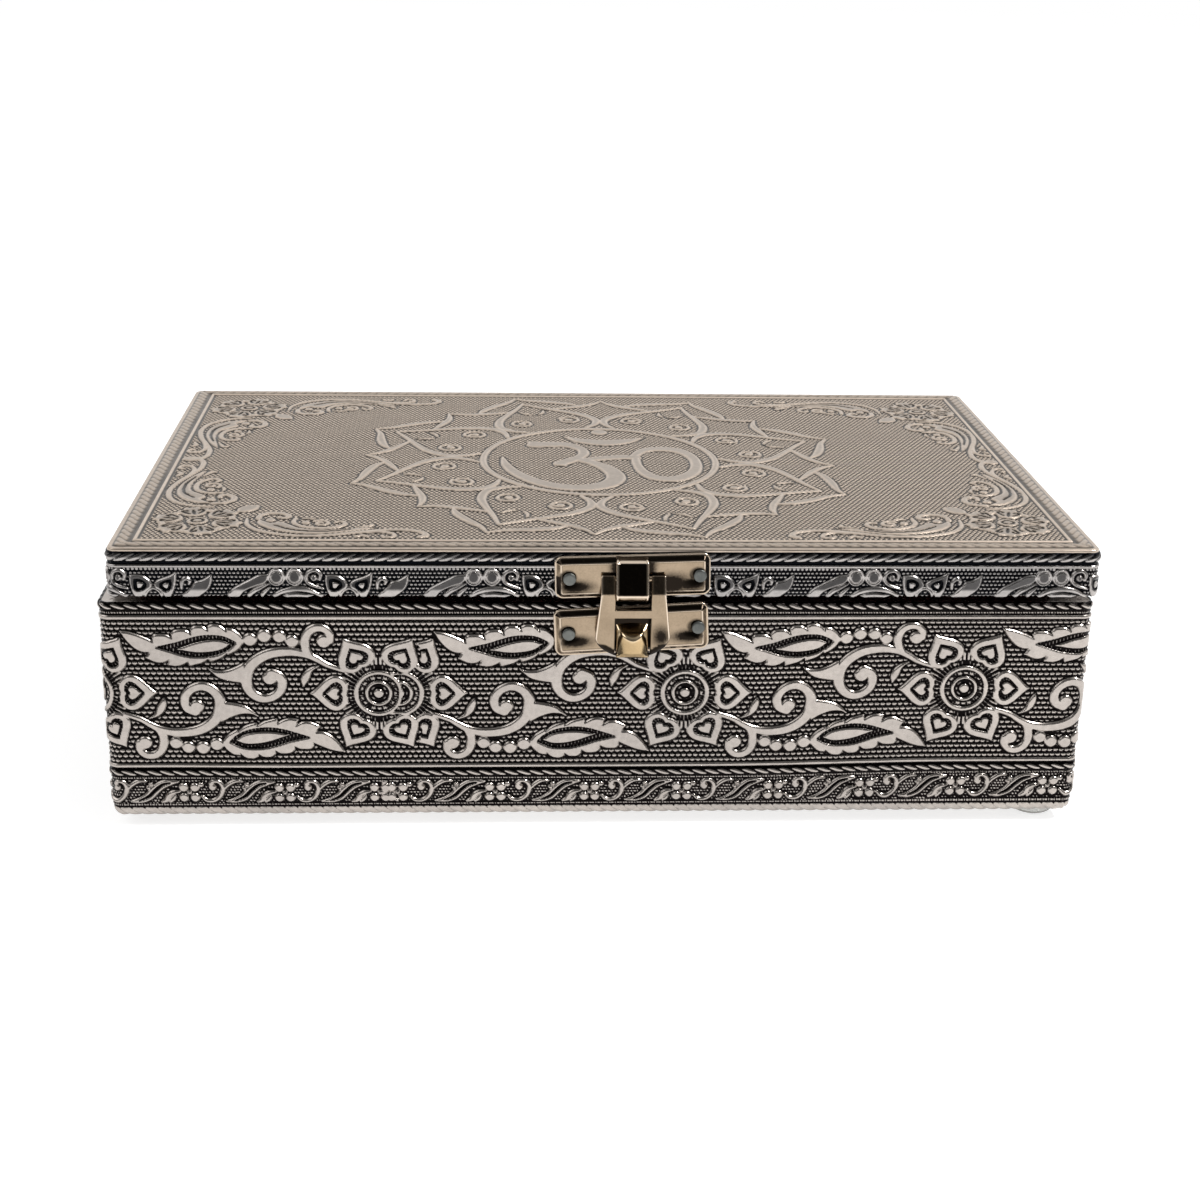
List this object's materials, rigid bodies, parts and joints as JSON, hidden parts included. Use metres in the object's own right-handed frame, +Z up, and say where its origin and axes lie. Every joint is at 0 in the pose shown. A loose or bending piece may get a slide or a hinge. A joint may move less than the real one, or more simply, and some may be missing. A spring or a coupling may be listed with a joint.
{
  "type": "keepsake box",
  "caption": "Hinged rectangular keepsake box clad in embossed silver-coloured sheet metal, with a hasp latch and velvet lining.",
  "frame": {"origin": "on the ground under the centre of the box, between its four feet", "axes": "+X to the right along the front, +Y to the back, +Z up; the latch is on the -Y side"},
  "size_m": [0.2017, 0.1393, 0.0611],
  "materials": {
    "embossed_metal": "embossed sheet, bright on the raised ornament and darkened in the recesses",
    "wood": "plain sawn",
    "velvet": "short pile",
    "felt": "pressed felt",
    "bumper": "clear soft plastic, smooth",
    "latch_metal": "warm nickel plating, polished",
    "catch_brass": "polished",
    "nail_steel": "dull"
  },
  "bodies": {
    "base": {"wall_board_front": "wood", "wall_board_back": "wood", "wall_board_left": "wood", "wall_board_right": "wood", "floor_board": "wood", "base_cladding_front": "embossed_metal", "base_cladding_back": "embossed_metal", "base_cladding_left": "embossed_metal", "base_cladding_right": "embossed_metal", "velvet_wall_front": "velvet", "velvet_wall_back": "velvet", "velvet_wall_left": "velvet", "velvet_wall_right": "velvet", "velvet_floor_pad": "velvet", "base_felt": "felt", "foot_front_left": "bumper", "foot_front_right": "bumper", "foot_back_left": "bumper", "foot_back_right": "bumper", "latch_lower_plate": "latch_metal", "latch_catch": "catch_brass", "latch_nail_lower_left": "nail_steel", "latch_nail_lower_right": "nail_steel", "hinge_base_leaf_left": "latch_metal", "hinge_base_leaf_right": "latch_metal", "hinge_pin_left": "nail_steel", "hinge_pin_right": "nail_steel", "hinge_nail_base_left_outer": "nail_steel", "hinge_nail_base_left_inner": "nail_steel", "hinge_nail_base_right_outer": "nail_steel", "hinge_nail_base_right_inner": "nail_steel"},
    "lid": {"lid_panel": "wood", "lid_rail_front": "wood", "lid_rail_back": "wood", "lid_rail_left": "wood", "lid_rail_right": "wood", "lid_top_cladding": "embossed_metal", "lid_cladding_front": "embossed_metal", "lid_cladding_back": "embossed_metal", "lid_cladding_left": "embossed_metal", "lid_cladding_right": "embossed_metal", "lid_velvet_pad": "velvet", "lid_velvet_edge_front": "velvet", "lid_velvet_edge_back": "velvet", "lid_velvet_edge_left": "velvet", "lid_velvet_edge_right": "velvet", "latch_upper_plate": "latch_metal", "latch_nail_upper_left": "nail_steel", "latch_nail_upper_right": "nail_steel", "hinge_lid_leaf_left": "latch_metal", "hinge_lid_leaf_right": "latch_metal", "hinge_nail_lid_left_outer": "nail_steel", "hinge_nail_lid_left_inner": "nail_steel", "hinge_nail_lid_right_outer": "nail_steel", "hinge_nail_lid_right_inner": "nail_steel"},
    "hasp": {"latch_hasp": "latch_metal"}
  },
  "joints": [
    {"name": "lid_hinge", "type": "hinge", "parent": "base", "child": "lid", "pos_m": [0, 0.06672, 0.04995], "axis": [-1, 0, 0], "range_deg": [0, 100]},
    {"name": "hasp_pivot", "type": "hinge", "parent": "lid", "child": "hasp", "pos_m": [0.00615, -0.06701, 0.0553], "axis": [-1, 0, 0], "range_deg": [0, 120]}
  ]
}
